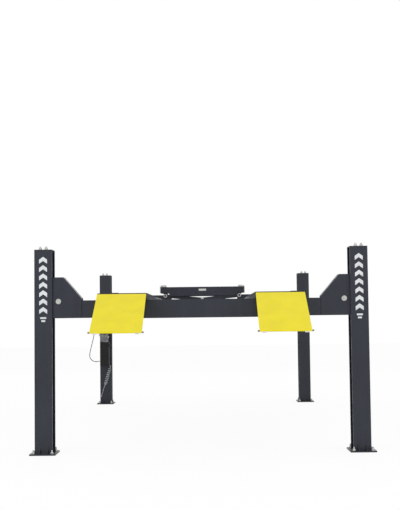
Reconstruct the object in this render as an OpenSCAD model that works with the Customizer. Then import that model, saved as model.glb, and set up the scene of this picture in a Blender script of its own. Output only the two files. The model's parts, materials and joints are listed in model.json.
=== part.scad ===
// Four-post truck lift with approach ramps and a rolling axle jack between its runways.
// Origin: on the floor, at the centre of the four columns' anchor layout.
// +X to the right, +Y from the entry ramps towards the front, +Z up.

/* [Overall] */
// Width across the outer edges of the base plates
overall_w = 3886; // [3700:1:4700]
// Length across the outer edges of the base plates
overall_l = 7580; // [7000:1:9100]
// Height of the columns over their caps
column_h = 2314; // [2300:1:2700]
// Height of the crossbeams' underside when the platform is fully down
low_h = 33; // [30:1:60]
// Height that the platform stands above its lowest place
raised = 1500; // [500:100:1500]

/* [Base plates] */
// Width of a base plate across the lift
plate_w = 292; // [280:1:340]
// Length of a base plate along the lift
plate_l = 380; // [360:1:460]
// Thickness of a base plate
plate_t = 16; // [12:1:25]
// Diameter of an anchor hole
anchor_d = 22; // [18:1:26]
// Distance from an anchor hole to the plate's side edge
anchor_in_x = 40; // [34:1:45]
// Distance from an anchor hole to the plate's end edge
anchor_in_y = 35; // [30:1:42]

/* [Columns] */
// Width of a column across the lift
column_w = 201; // [195:1:240]
// Length of a column along the lift
column_l = 235; // [230:1:280]
// Wall of a column
column_wall = 8; // [6:1:10]
// Width of the lips beside a column's opening
column_lip = 18; // [10:1:20]
// Distance from a column's outer face to the base plate's outer edge
column_edge = 51.5; // [45:0.5:60]
// Thickness of a column's cap
cap_t = 8; // [6:1:10]
// Height of the foot gussets
gusset_h = 90; // [60:1:150]

/* [Crossbeams] */
// Height of a crossbeam
beam_h = 200; // [190:1:230]
// Width of a crossbeam along the lift
beam_w = 150; // [140:1:155]
// Wall of a crossbeam
beam_wall = 6; // [4:1:8]

/* [End housings] */
// Height of an end housing
housing_h = 465; // [450:1:480]
// Thickness of a housing's side plates
housing_t = 10; // [8:1:12]
// Distance from a column's inner face to the housing's inner end
housing_reach = 330; // [300:1:400]
// Height of the housing's low end, where its slope starts
housing_low = 224; // [212:1:240]
// Distance from the housing's inner end to the top of its slope
housing_slope = 205; // [150:1:240]
// Thickness of a slide block
block_t = 18; // [14:1:20]
// Clearance between a slide block and the column
block_gap = 3; // [1:0.5:5]

/* [Cables and sheaves] */
// Diameter of a lift cable
cable_d = 13; // [10:1:16]
// Radius of a sheave at the cable's centre line
sheave_r = 150; // [120:1:155]
// Thickness of a sheave
sheave_t = 30; // [24:1:36]
// Height of a sheave's axle above the crossbeam's underside
sheave_z = 190; // [186:1:196]
// Distance from a column's inner face to a sheave's axle
sheave_in = 68.5; // [66:0.5:75]
// Diameter of a sheave's pin
pin_d = 45; // [35:1:54]
// Diameter of a sheave pin's retaining disc
disc_d = 60; // [55:1:64]
// Radial clearance of a running fit
run = 0.05; // [0.02:0.01:0.1]

/* [Ladders and latches] */
// Distance between the lock positions
pitch = 100; // [100:50:100]
// Distance from a column's outer face to the ladder's middle
ladder_in = 52; // [48:1:54]
// Thickness of a ladder
ladder_t = 12; // [10:1:14]
// Width of a ladder
ladder_w = 90; // [80:1:100]
// Width of a ladder's windows
window_w = 56; // [52:1:60]
// Height of a ladder's windows
window_h = 78; // [76:1:80]
// Height of a latch's pivot above the crossbeam's underside
latch_z = 425; // [420:1:430]
// Length of a latch from its pivot to its nose
latch_l = 80; // [78:1:82]
// Thickness of a latch along its swing
latch_t = 24; // [20:1:26]
// Diameter of a latch pin
latch_pin_d = 16; // [12:1:18]

/* [Runways] */
// Width of a runway
runway_w = 552; // [500:1:600]
// Gap between the runways
runway_gap = 1208; // [1150:1:1260]
// Height of a deck above the crossbeams' top
deck_rise = 70; // [60:1:90]
// Thickness of a deck plate
deck_t = 8; // [6:1:10]
// Wall of the runways' side channels
web_t = 8; // [6:1:10]
// Distance that a deck reaches beyond the crossbeams' middle at each end
deck_reach = 322; // [300:1:340]
// Height of the front wheel stops above the deck
stop_h = 150; // [100:1:200]

/* [Ramps] */
// Length of a ramp from its hinge pin to its toe
ramp_l = 900; // [800:1:1100]
// Width of a ramp
ramp_w = 545; // [490:1:590]
// Thickness of a ramp plate
ramp_t = 10; // [8:1:12]
// Angle that a ramp hangs below level
ramp_angle = 27.2; // [20:0.1:32]
// Diameter of a ramp's hinge pin
ramp_pin_d = 25; // [20:1:30]
// Diameter of a ramp's toe bar
toe_bar_d = 18; // [14:1:22]
// Distance that the toe bar stands out of each side
toe_bar_out = 18; // [10:1:25]

/* [Rolling jack] */
// Place of the jack along the lift
jack_y = -1300; // [-2500:10:2500]
// Distance between the end pins of a scissor arm
arm_l = 1000; // [830:1:1010]
// Height of an arm's lower pin below the deck
arm_low = 81; // [75:1:90]
// Height of an arm's upper pin above the deck
arm_high = 19; // [15:1:25]
// Depth of the jack's carriage along the lift
carriage_l = 460; // [440:1:520]
// Height of the table's underside above the deck
table_z = 55; // [54:1:60]
// Height of the jack's table
table_h = 80; // [78:1:90]
// Width of the jack's table across the lift
table_w = 1120; // [1100:1:1140]

/* [Power unit] */
// Diameter of the motor
motor_d = 165; // [150:1:180]
// Width of the fluid reservoir
tank_w = 160; // [150:1:170]
// Height of the fluid reservoir
tank_h = 415; // [350:1:450]
// Height of the reservoir's underside above the floor
tank_z = 695; // [650:1:750]

/* [Hidden] */
$fn = 64;
fit = 0.3;
col_out = overall_w / 2 - column_edge;
col_in = col_out - column_w;
col_x = (col_out + col_in) / 2;
plate_x = (overall_w - plate_w) / 2;
end_y = (overall_l - plate_l) / 2;
bay_x = col_out - column_wall;
bay_y = column_l / 2 - column_wall;
cap_z = column_h - cap_t;
beam_z = low_h + raised;
house_in = col_in - housing_reach;
house_out = col_out - column_wall - block_t - block_gap;
house_y = beam_w / 2 + housing_t;
sheave_x = col_in - sheave_in;
cable_x = sheave_x + sheave_r;
ladder_x = col_out - ladder_in;
latch_x = (cable_x + cable_d / 2 + ladder_x - ladder_t / 2) / 2;
deck_z = beam_z + beam_h + deck_rise;
runway_x = (runway_gap + runway_w) / 2;
deck_end = end_y + deck_reach;
deep_end = end_y - beam_w / 2 - 8;
deep_h = beam_h + deck_rise - 30;
ramp_pin_y = -deck_end - 28;
hinge_r = ramp_pin_d / 2 + 7.5;
ramp_low = hinge_r + 2;
ramp_pin_z = deck_z - ramp_low - ramp_t - 4;
rail_z = beam_z + 107;
wheel_d = 90;
wheel_z = rail_z + 8 + wheel_d / 2;
arm_lo_z = deck_z - arm_low;
arm_hi_z = deck_z + arm_high;
arm_run = sqrt(arm_l * arm_l - pow(arm_low + arm_high, 2));
arm_x = -arm_l / 2;
arm_pin_d = 24;
boss_d = 48;
tz = deck_z + table_z;
wall_y = end_y - column_l / 2;
unit_x = -col_x - 4;
CORNERS = [["rear_left", -1, -1], ["rear_right", 1, -1], ["front_left", -1, 1], ["front_right", 1, 1]];
INK = [0.13, 0.14, 0.16];
ZINC = [0.75, 0.77, 0.8];
YELLOW = [0.85, 0.78, 0.08];
BLACK = [0.06, 0.06, 0.07];

// Routes are measured from the power unit's axis on the column's face, heights from the floor.
// Route of the hydraulic hose: out of the pump's side, down in a loop and into the column's side.
HOSE = [[-100, -87.5, 1262], [-100, -87.5, 1278], [-101, -87.5, 1294], [-107, -87.5, 1314],
    [-124, -87.5, 1331], [-147, -87.5, 1338], [-170, -86.5, 1331], [-186, -85.5, 1314],
    [-192, -84.5, 1290], [-195, -82.5, 1255], [-202, -80.5, 1210], [-213, -78.5, 1160],
    [-226, -75.5, 1110], [-239, -71.5, 1060], [-253, -67.5, 1005], [-267, -62.5, 945], [-277, -56.5, 890],
    [-275, -49.5, 845], [-258, -38.5, 808], [-230, -24.5, 780], [-199, -7.5, 765], [-167, 7.5, 760],
    [-140, 15.5, 763], [-117, 17.5, 766]];
hose_d = 12;
// Route of the air hose: a stretched coil down the column's face, then a straight tail to the foot.
COIL = [[89, -36.5, 668], [73, -36.5, 610], [55, -36.5, 552], [38, -36.5, 494], [21, -36.5, 436],
    [3, -36.5, 378], [-6, -35.5, 348]];
TAIL = [[-6, -35.5, 348], [-11, -33.5, 334], [-19, -30.5, 312], [-29, -27.5, 284], [-41, -24.5, 250],
    [-53, -23.5, 214], [-63, -22.5, 184], [-69, -21.5, 164], [-72, -19.5, 148], [-73, -16.5, 138]];
coil_d = 64;
tail_d = 6;

// ---- helpers ----

// Puts a shape drawn from the power unit's axis on the column's face at its place.
module at_unit() {
    translate([unit_x, wall_y, 0]) children();
}

// Puts a shape drawn for the +X +Y corner at another corner.
module at_corner(sx, sy) {
    mirror([sx < 0 ? 1 : 0, 0, 0]) mirror([0, sy < 0 ? 1 : 0, 0]) children();
}

// A box between two corners.
module block(lo, hi) {
    translate(lo) cube(hi - lo);
}

// A cylinder along X from x0 to x1.
module rod_x(x0, x1, y, z, d) {
    translate([x0, y, z]) rotate([0, 90, 0]) cylinder(h = x1 - x0, d = d);
}

// A cylinder along Y from y0 to y1.
module rod_y(x, y0, y1, z, d) {
    translate([x, y1, z]) rotate([90, 0, 0]) cylinder(h = y1 - y0, d = d);
}

// A cylinder along Z from z0 to z1.
module rod_z(x, y, z0, z1, d) {
    translate([x, y, z0]) cylinder(h = z1 - z0, d = d);
}

// An outline in X and Z, as thick as y0 to y1.
module plate_xz(points, y0, y1) {
    translate([0, y1, 0]) rotate([90, 0, 0]) linear_extrude(y1 - y0) polygon(points);
}

// An outline in Y and Z, as thick as x0 to x1.
module plate_yz(points, x0, x1) {
    translate([x0, 0, 0]) rotate([90, 0, 90]) linear_extrude(x1 - x0) polygon(points);
}

// A tube along a route of points, closed at both ends.
function unit(v) = v / norm(v);
function along(p, i) = unit(i == 0 ? p[1] - p[0] : i == len(p) - 1 ? p[i] - p[i - 1] : p[i + 1] - p[i - 1]);
function side(t) = unit(cross(t, [0.3, 0.9, 0.1]));
function ring(p, i, r, n) = let (t = along(p, i), a = side(t), b = cross(t, a))
    [for (k = [0:n - 1]) p[i] + r * (cos(360 * k / n) * a + sin(360 * k / n) * b)];

module tube(p, d, n = 10) {
    points = [for (i = [0:len(p) - 1]) each ring(p, i, d / 2, n)];
    last = (len(p) - 1) * n;
    sides = [for (i = [0:len(p) - 2], k = [0:n - 1])
        [i * n + k, i * n + (k + 1) % n, (i + 1) * n + (k + 1) % n, (i + 1) * n + k]];
    ends = [[for (k = [n - 1:-1:0]) k], [for (k = [0:n - 1]) last + k]];
    polyhedron(points, concat(sides, ends));
}

// ---- columns ----

module column(sx, sy) {
    color(INK) at_corner(sx, sy) difference() {
        union() {
            block([plate_x - plate_w / 2, end_y - plate_l / 2, 0],
                [plate_x + plate_w / 2, end_y + plate_l / 2, plate_t]);
            block([col_in, end_y - column_l / 2, plate_t], [col_out, end_y + column_l / 2, cap_z]);
            for (s = [0, 1], x = [col_x - 45, col_x + 45]) translate([0, end_y, 0]) mirror([0, s, 0])
                plate_yz([[column_l / 2, plate_t], [column_l / 2 + 50, plate_t], [column_l / 2, gusset_h]],
                    x - 4, x + 4);
        }
        block([col_in + column_wall, end_y - bay_y, plate_t], [bay_x, end_y + bay_y, cap_z + 1]);
        block([col_in - 1, end_y - bay_y + column_lip, plate_t],
            [bay_x, end_y + bay_y - column_lip, cap_z + 1]);
        for (x = [-1, 1] * (plate_w / 2 - anchor_in_x), y = [-1, 1] * (plate_l / 2 - anchor_in_y))
            rod_z(plate_x + x, end_y + y, -1, plate_t + 1, anchor_d);
    }
}

stud_d = 24;
module column_caps() {
    color(INK) for (c = CORNERS) at_corner(c[1], c[2]) difference() {
        block([col_in, end_y - column_l / 2, cap_z], [col_out, end_y + column_l / 2, column_h]);
        for (x = [cable_x, ladder_x]) rod_z(x, end_y, cap_z - 1, column_h + 1, stud_d + 2);
    }
}

// Height of the window that a latch enters when the platform is fully down.
window_z = low_h + latch_z - 0.5625 * latch_l;
// The ladder hangs on its stud by a head block that starts this far under the cap.
head_z = cap_z - 52;
module lock_ladder(sx, sy) {
    color(ZINC) at_corner(sx, sy) difference() {
        union() {
            block([ladder_x - ladder_t / 2, end_y - ladder_w / 2, plate_t + 14],
                [ladder_x + ladder_t / 2, end_y + ladder_w / 2, cap_z - 40]);
            block([ladder_x - 16, end_y - 24, head_z], [ladder_x + 16, end_y + 24, cap_z - 15]);
        }
        for (z = [for (k = [-3:30]) window_z + k * pitch])
            if (z > plate_t + 60 && z < head_z - window_h / 2)
                block([ladder_x - 40, end_y - window_w / 2, z - window_h / 2],
                    [ladder_x + 40, end_y + window_w / 2, z + window_h / 2]);
        rod_z(ladder_x, end_y, cap_z - 46, cap_z - 10, stud_d + 0.4);
    }
}

// Hanger studs, each with its nut and washer.
module hanger_studs() {
    color(ZINC) for (c = CORNERS, x = [cable_x, ladder_x]) at_corner(c[1], c[2]) {
        rod_z(x, end_y, cap_z - 45, column_h + 42, stud_d);
        translate([x, end_y, column_h]) difference() {
            union() {
                cylinder(h = 4, d = 44);
                translate([0, 0, 4]) cylinder(h = 20, d = 40, $fn = 6);
            }
            translate([0, 0, -1]) cylinder(h = 40, d = stud_d + 0.4);
        }
    }
}

// ---- cables ----

module lift_cables() {
    color(ZINC) for (c = CORNERS) at_corner(c[1], c[2])
        rod_z(cable_x, end_y, beam_z + sheave_z, cap_z - 46, cable_d);
}

// Each corner's cable runs under its sheave and along the crossbeam to the left runway.
module beam_cables() {
    color(ZINC) for (c = CORNERS) at_corner(c[1], c[2]) {
        translate([sheave_x, end_y, beam_z + sheave_z]) rotate([90, 0, 0]) rotate([0, 0, 270])
            rotate_extrude(angle = 90) translate([sheave_r, 0]) circle(d = cable_d);
        inner = c[1] < 0 ? runway_x + 10 : 10 - runway_x;
        rod_x(inner, sheave_x, end_y, beam_z + sheave_z - sheave_r, cable_d);
    }
}

// Turned from half an outline, mirrored about the middle of its thickness.
module sheave(sx, sy) {
    w = sheave_t / 2;
    g = cable_d / 2 + 0.6;
    half = [[pin_d / 2 + run, w], [sheave_r - 30, w], [sheave_r - 24, w - 5], [sheave_r - 12, w - 5],
        [sheave_r - 10, w], [sheave_r + g, w], [sheave_r + g, g], [sheave_r - g, g]];
    outline = concat(half, [for (k = [len(half) - 1:-1:0]) [half[k][0], -half[k][1]]]);
    color(ZINC) at_corner(sx, sy) translate([sheave_x, end_y, beam_z + sheave_z]) rotate([90, 0, 0])
        rotate_extrude() polygon(outline);
}

module sheave_pins() {
    color(ZINC) for (c = CORNERS) at_corner(c[1], c[2]) translate([0, end_y, 0]) {
        rod_y(sheave_x, -house_y, house_y, beam_z + sheave_z, pin_d);
        for (s = [0, 1]) mirror([0, s, 0]) rod_y(sheave_x, house_y, house_y + 8, beam_z + sheave_z, disc_d);
    }
}

// ---- platform ----

module crossbeam(sy) {
    x1 = house_in + 70;
    color(INK) difference() {
        block([-x1, sy * end_y - beam_w / 2, beam_z], [x1, sy * end_y + beam_w / 2, beam_z + beam_h]);
        block([-x1 - 1, sy * end_y - beam_w / 2 + beam_wall, beam_z + beam_wall],
            [x1 + 1, sy * end_y + beam_w / 2 - beam_wall, beam_z + beam_h - beam_wall]);
    }
}

module end_housing(sx, sy) {
    x0 = house_in;
    xs = house_in + housing_slope;
    seat = beam_z + beam_h;
    top = beam_z + housing_h;
    outline = [[x0, beam_z], [house_out, beam_z], [house_out, top], [xs, top], [x0, beam_z + housing_low]];
    color(INK) at_corner(sx, sy) translate([0, end_y, 0]) difference() {
        union() {
            for (s = [0, 1]) mirror([0, s, 0]) plate_xz(outline, beam_w / 2, house_y);
            plate_xz([[x0, seat], [x0, beam_z + housing_low], [xs, top], [xs + 60, top], [xs + 60, top - 8],
                [xs + 4, top - 8], [x0 + 20, seat + 12], [x0 + 70, seat + 12], [x0 + 70, seat]],
                -beam_w / 2, beam_w / 2);
            block([x0 + 70, -beam_w / 2, beam_z], [x0 + 150, beam_w / 2, beam_z + 6]);
            block([house_out - 8, -beam_w / 2, beam_z], [house_out, beam_w / 2, beam_z + 60]);
        }
        rod_y(sheave_x, -house_y - 1, house_y + 1, beam_z + sheave_z, pin_d + 0.4);
        rod_y(latch_x, -house_y - 1, house_y + 1, beam_z + latch_z, latch_pin_d + 0.4);
        block([ladder_x - ladder_t / 2 - 6, -ladder_w / 2 - 6, beam_z - 1],
            [house_out + 1, ladder_w / 2 + 6, beam_z + 61]);
    }
}

// Low and high blocks on each housing's two sides and two more on its outer end.
module slide_blocks() {
    side_t = bay_y - house_y - block_gap;
    color(BLACK) for (c = CORNERS, z = [30, housing_h - 200]) at_corner(c[1], c[2])
        translate([0, end_y, beam_z + z]) for (s = [0, 1]) mirror([0, s, 0]) {
            block([house_out - 90, house_y, 0], [house_out, house_y + side_t, 80]);
            block([house_out, house_y - 25, 0], [house_out + block_t, house_y + side_t, 80]);
        }
}

module latch_pins() {
    color(ZINC) for (c = CORNERS) at_corner(c[1], c[2]) translate([0, end_y, 0]) {
        rod_y(latch_x, -house_y, house_y, beam_z + latch_z, latch_pin_d);
        for (s = [0, 1]) mirror([0, s, 0])
            rod_y(latch_x, house_y, house_y + 5, beam_z + latch_z, latch_pin_d + 8);
    }
}

latch_w = 50;
module latch(sx, sy) {
    t = latch_t / 2;
    color(ZINC) at_corner(sx, sy) translate([latch_x, end_y, beam_z + latch_z]) difference() {
        union() {
            plate_xz([[-t, 0], [-t, -latch_l], [t - 6, -latch_l], [t, -latch_l + 6], [t, 0]],
                -latch_w / 2, latch_w / 2);
            rod_y(0, -latch_w / 2, latch_w / 2, 0, latch_t);
        }
        rod_y(0, -latch_w, latch_w, 0, latch_pin_d + 2 * run);
    }
}

// Side channels, deck plate and, on the inner side, the rail that the jack rolls on.
module runway(sx) {
    x0 = runway_gap / 2;
    x1 = x0 + runway_w;
    low = deck_z - deep_h;
    top = deck_z - deck_t;
    seat = beam_z + beam_h;
    outline = [[-deck_end, seat], [-deep_end, seat], [-deep_end, low], [deep_end, low], [deep_end, seat],
        [deck_end, seat], [deck_end, top], [-deck_end, top]];
    color(INK) mirror([sx < 0 ? 1 : 0, 0, 0]) difference() {
        union() {
            block([x0, -deck_end, top], [x1, deck_end, deck_z]);
            for (x = [x0, x1 - web_t]) plate_yz(outline, x, x + web_t);
            for (y = [-deck_end, deck_end - 8]) block([x0, y, seat], [x1, y + 8, top]);
            for (x = [x0, x1 - 48]) block([x, -deep_end, low], [x + 48, deep_end, low + 8]);
            block([x0 - 56, -deep_end, rail_z], [x0, deep_end, rail_z + 8]);
            for (x = [x0 + 30, x1 - 60]) {
                plate_yz([[-deck_end, seat + 2], [-deck_end, ramp_pin_z + 4],
                    [ramp_pin_y, ramp_pin_z + hinge_r], [ramp_pin_y, ramp_pin_z - hinge_r]], x, x + 30);
                rod_x(x, x + 30, ramp_pin_y, ramp_pin_z, 2 * hinge_r);
            }
        }
        rod_x(x0 - 1, x1 + 1, ramp_pin_y, ramp_pin_z, ramp_pin_d + 0.4);
    }
}

module wheel_stops() {
    x0 = runway_gap / 2;
    y0 = deck_end + 10;
    color(INK) for (s = [0, 1]) mirror([s, 0, 0]) {
        block([x0, deck_end, deck_z - 70], [x0 + runway_w, y0, deck_z + stop_h]);
        for (x = [x0 + 90, x0 + runway_w - 100])
            plate_yz([[y0, deck_z - 66], [y0 + 30, deck_z - 66], [y0, deck_z + stop_h - 20]], x, x + 10);
    }
}

module ramp_pins() {
    color(ZINC) for (s = [0, 1]) mirror([s, 0, 0])
        rod_x(runway_gap / 2 + 8, runway_gap / 2 + runway_w - 8, ramp_pin_y, ramp_pin_z, ramp_pin_d);
}

// Drawn level, pointing to -Y from the hinge pin, then turned down to its hanging place.
module ramp(sx) {
    w = ramp_w / 2;
    color(YELLOW) translate([sx * runway_x, ramp_pin_y, ramp_pin_z]) rotate([ramp_angle, 0, 0]) difference() {
        union() {
            block([-w, -ramp_l, ramp_low], [w, -6, ramp_low + ramp_t]);
            for (x = [-w + 8, -w + 120, w - 128, w - 16])
                plate_yz([[-24, ramp_low], [-ramp_l + 20, ramp_low], [-ramp_l + 20, ramp_low - 14],
                    [-120, -24], [-24, -24]], x, x + 8);
            for (x = [-w + 70, -20, w - 110]) {
                block([x, -40, -8], [x + 40, 0, ramp_low + 2]);
                rod_x(x, x + 40, 0, 0, 2 * hinge_r - 4);
            }
            rod_x(-w - toe_bar_out, w + toe_bar_out, -ramp_l, ramp_low + ramp_t - toe_bar_d / 2, toe_bar_d);
        }
        rod_x(-w - 1, w + 1, 0, 0, ramp_pin_d + 2 * run);
    }
}

// ---- hydraulic cylinder under the left runway ----

cyl_y = 500;
cyl_l = 2100;
cyl_z = beam_z + 130;
rod_d = 50;
module cylinder_barrel() {
    color(INK) translate([-runway_x, 0, 0]) {
        difference() {
            union() {
                rod_y(0, cyl_y, cyl_y + cyl_l, cyl_z, 130);
                rod_y(0, cyl_y - 30, cyl_y, cyl_z, 145);
                block([-30, cyl_y + cyl_l, cyl_z - 40], [30, cyl_y + cyl_l + 60, deck_z - deck_t]);
            }
            rod_y(0, cyl_y - 31, cyl_y + 31, cyl_z, rod_d + 2 * run);
            rod_y(0, cyl_y + 30, cyl_y + cyl_l - 20, cyl_z, 110);
        }
    }
}

pull_y = 160;
module piston_rod() {
    color(ZINC) rod_y(-runway_x, pull_y, cyl_y + cyl_l - 330, cyl_z, rod_d);
}

module pull_plate() {
    color(INK) difference() {
        block([-runway_x - 120, pull_y - 30, beam_z + 70], [-runway_x + 120, pull_y, beam_z + 190]);
        for (x = [-85, 85], z = [100, 160]) rod_y(-runway_x + x, pull_y - 31, pull_y + 1, beam_z + z, 26);
    }
}

// ---- rolling jack ----

module jack_carriage() {
    x1 = runway_gap / 2 - 64;
    c = carriage_l / 2;
    color(INK) translate([0, jack_y, 0]) {
        for (s = [0, 1]) mirror([s, 0, 0]) {
            difference() {
                block([x1 - 10, -c - 60, deck_z - 138], [x1, c + 60, deck_z - 58]);
                for (y = [-c - 10, c + 10]) rod_x(x1 - 11, x1 + 1, y, wheel_z, 20 + 2 * run);
            }
        }
        difference() {
            union() {
                for (s = [0, 1]) mirror([0, s, 0]) {
                    block([-x1 + 10, c - 40, deck_z - 138], [x1 - 10, c, deck_z - 130]);
                    block([-x1 + 10, c - 40, deck_z - 66], [x1 - 10, c, deck_z - 58]);
                    block([-x1 + 10, c - 48, deck_z - 138], [x1 - 10, c - 40, deck_z - 58]);
                    block([370, 108, arm_lo_z - 32], [x1 - 10, 182, arm_lo_z - boss_d / 2 - fit]);
                    block([arm_x - 26, 168, arm_lo_z - 26], [arm_x + 26, 182, arm_lo_z + 20]);
                }
                for (x = [arm_x + 60, 370]) block([x, -182, deck_z - 138], [x + 60, 182, deck_z - 130]);
            }
            rod_y(arm_x, -300, 300, arm_lo_z, arm_pin_d + 2 * run);
        }
    }
}

module jack_wheels(sy) {
    x1 = runway_gap / 2 - 64;
    y = jack_y + sy * (carriage_l / 2 + 10);
    color(BLACK) for (s = [0, 1]) mirror([s, 0, 0]) {
        rod_x(x1 + 14, x1 + 48, y, wheel_z, wheel_d - 2 * fit);
        rod_x(x1 - 16, x1 + 14, y, wheel_z, 20);
    }
}

// A pair of flat bars with round ends, from pin a to pin b, at y0 to y1 on both sides.
module arm_bars(a, b, y0, y1) {
    u = (b - a) / norm(b - a);
    w = 22 * [-u[1], u[0]];
    for (s = [0, 1]) mirror([0, s, 0]) {
        plate_xz([a + 8 * u + w, a + 8 * u - w, b - 8 * u - w, b - 8 * u + w], y0, y1);
        for (p = [a, b]) rod_y(p[0], y0, y1, p[1], boss_d);
    }
}

mid = [arm_x + arm_run / 2, (arm_lo_z + arm_hi_z) / 2];
// Lower left to upper right, with its hinge pin, the centre pin and the upper rollers' shaft.
module scissor_arm_outer() {
    color(INK) translate([0, jack_y, 0]) {
        arm_bars([arm_x, arm_lo_z], [arm_x + arm_run, arm_hi_z], 145, 160);
        rod_y(arm_x, -184, 184, arm_lo_z, arm_pin_d);
        rod_y(mid[0], -150, 150, mid[1], arm_pin_d);
        rod_y(arm_x + arm_run, -150, 150, arm_hi_z, arm_pin_d);
    }
}

// Lower right to upper left, with the lower rollers' shaft and the table's hinge pin.
module scissor_arm_inner() {
    color(INK) translate([0, jack_y, 0]) difference() {
        union() {
            arm_bars([arm_x + arm_run, arm_lo_z], [arm_x, arm_hi_z], 118, 133);
            rod_y(arm_x + arm_run, -130, 130, arm_lo_z, arm_pin_d);
            rod_y(arm_x, -130, 130, arm_hi_z, arm_pin_d);
            rod_y(mid[0], -130, 130, mid[1], 40);
        }
        rod_y(mid[0], -160, 160, mid[1], arm_pin_d + 2 * run);
    }
}

ext_a = 60;
ext_y = 60;
module jack_table() {
    sleeve = ext_a + 4 + 16;
    x1 = table_w / 2;
    skirt_x = arm_l / 2 - 55;
    color(INK) translate([0, jack_y, 0]) difference() {
        union() {
            for (y = [-ext_y, ext_y])
                block([-x1, y - sleeve / 2, tz], [x1, y + sleeve / 2, tz + table_h]);
            block([-x1, -172, tz], [x1, 172, tz + 8]);
            for (x = [-x1, x1 - 8]) block([x, -172, tz], [x + 8, 172, tz + table_h]);
            for (s = [0, 1]) mirror([0, s, 0]) {
                block([-x1, 172, tz], [x1, 180, tz + table_h]);
                block([-skirt_x, 172, tz - 40], [skirt_x, 180, tz]);
                block([arm_x - 24, 92, arm_hi_z - 20], [arm_x + 24, 110, tz]);
                block([370, 112, arm_hi_z + boss_d / 2 + fit], [530, 172, tz]);
            }
        }
        for (y = [-ext_y, ext_y])
            block([-x1 - 1, y - ext_a / 2 - 1, tz + 9], [x1 + 1, y + ext_a / 2 + 1, tz + 11 + ext_a]);
        rod_y(arm_x, -300, 300, arm_hi_z, arm_pin_d + 2 * run);
    }
}

// A sliding arm of square tube with an end plate, a step over the table and a round lifting pad.
module jack_extension(sx) {
    x_end = table_w / 2;
    color(ZINC) translate([0, jack_y, 0]) mirror([sx < 0 ? 1 : 0, 0, 0]) translate([0, sx * ext_y, tz + 10]) {
        difference() {
            block([x_end - 500, -ext_a / 2, 0], [x_end + 2, ext_a / 2, ext_a]);
            block([x_end - 501, -ext_a / 2 + 6, 6], [x_end + 1, ext_a / 2 - 6, ext_a - 6]);
        }
        block([x_end + 2, -45, -8], [x_end + 14, 45, ext_a + 24]);
        block([x_end - 76, -45, ext_a + 14], [x_end + 2, 45, ext_a + 24]);
        rod_z(x_end - 34, 0, ext_a + 24, ext_a + 36, 76);
    }
}

// ---- power unit on the front left column ----

unit_y = wall_y - 110;
module power_unit_bracket() {
    color(INK) difference() {
        union() {
            block([unit_x - 75, wall_y - 8, 1100], [unit_x + 75, wall_y, 1300]);
            block([unit_x - 75, wall_y - 40, 1150], [unit_x + 75, wall_y - 8, 1158]);
            block([unit_x - 75, wall_y - 40, 1242], [unit_x + 75, wall_y - 8, 1250]);
            block([unit_x - 75, wall_y - 48, 1150], [unit_x + 75, wall_y - 40, 1250]);
        }
        for (x = [-50, 50]) rod_y(unit_x + x, wall_y - 50, wall_y + 1, 1275, 12);
    }
}

module fluid_reservoir() {
    h = tank_w / 2;
    color(BLACK) translate([unit_x, unit_y, tank_z]) {
        difference() {
            linear_extrude(tank_h) polygon([[-h + 15, -h], [h - 15, -h], [h, -h + 15], [h, h - 15],
                [h - 15, h], [-h + 15, h], [-h, h - 15], [-h, -h + 15]]);
            translate([0, 0, 4]) linear_extrude(tank_h) square(tank_w - 24, center = true);
        }
        translate([0, 0, tank_h]) difference() {
            block([-h, -h, 0], [h, h, 5]);
            translate([0, 0, -1]) cylinder(h = 8, d = 60);
        }
    }
}

pump_z = tank_z + tank_h + 5;
module pump_block() {
    color(ZINC) translate([unit_x, 0, pump_z]) difference() {
        union() {
            block([-60, unit_y - 60, 0], [60, wall_y - 48, 130]);
            translate([0, unit_y, 130]) cylinder(h = 12, d = 120);
        }
        rod_x(50, 61, unit_y, 90, 14 + 2 * run);
    }
}

motor_z = pump_z + 142;
module motor() {
    color(BLACK) translate([unit_x, unit_y, motor_z]) {
        cylinder(h = 14, d = motor_d);
        translate([0, 0, 14]) cylinder(h = 190, d = motor_d - 16);
        for (a = [0:30:330]) rotate([0, 0, a]) block([motor_d / 2 - 12, -3, 14], [motor_d / 2 - 1.5, 3, 190]);
        translate([0, 0, 204]) cylinder(h = 22, d = motor_d - 6);
    }
}

box_y = unit_y - 60;
button_d = 22;
module control_box() {
    color([0.3, 0.31, 0.33]) difference() {
        block([unit_x - 70, box_y - 58, 1138], [unit_x + 62, box_y, 1250]);
        block([unit_x - 66, box_y - 54, 1142], [unit_x + 58, box_y - 4, 1246]);
        for (x = [-28, 28]) rod_y(unit_x + x, box_y - 60, box_y - 50, 1222, button_d + 2 * run);
    }
}

module push_button(x) {
    rod_y(unit_x + x, box_y - 68, box_y - 46, 1222, button_d);
    rod_y(unit_x + x, box_y - 46, box_y - 42, 1222, button_d + 8);
}

module up_button() {
    color([0.1, 0.45, 0.15]) push_button(-28);
}

module lock_release_button() {
    color([0.6, 0.08, 0.06]) push_button(28);
}

module lowering_lever() {
    color(ZINC) translate([unit_x, unit_y, pump_z + 90]) {
        rod_x(50.5, 78, 0, 0, 14);
        block([70, -105, -6], [78, 10, 6]);
        rod_y(74, -125, -100, 0, 22);
    }
}

// ---- hoses ----

module hydraulic_hose() {
    at_unit() color(BLACK) tube(HOSE, hose_d, 10);
}

module air_hose_coil() {
    at_unit() color(ZINC) tube(COIL, coil_d, 12);
}

module air_hose_tail() {
    at_unit() color(ZINC) tube(TAIL, tail_d, 8);
}

// Fittings: an elbow on the pump's side, and three into the column's walls.
module hose_fittings() {
    at_unit() color(ZINC) {
        rod_x(-108, -60, -87.5, 1225, 16);
        rod_z(-100, -87.5, 1225, 1262, 16);
        rod_x(-117, -col_out - unit_x, 17.5, 766, 16);
        translate([89, -36.5, 668]) {
            rod_y(0, -8, 36.5, 12, 16);
            rod_z(0, 0, 0.5, 12, 14);
        }
        rod_y(-73, -16.5, 0, 138, 14);
    }
}

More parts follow.
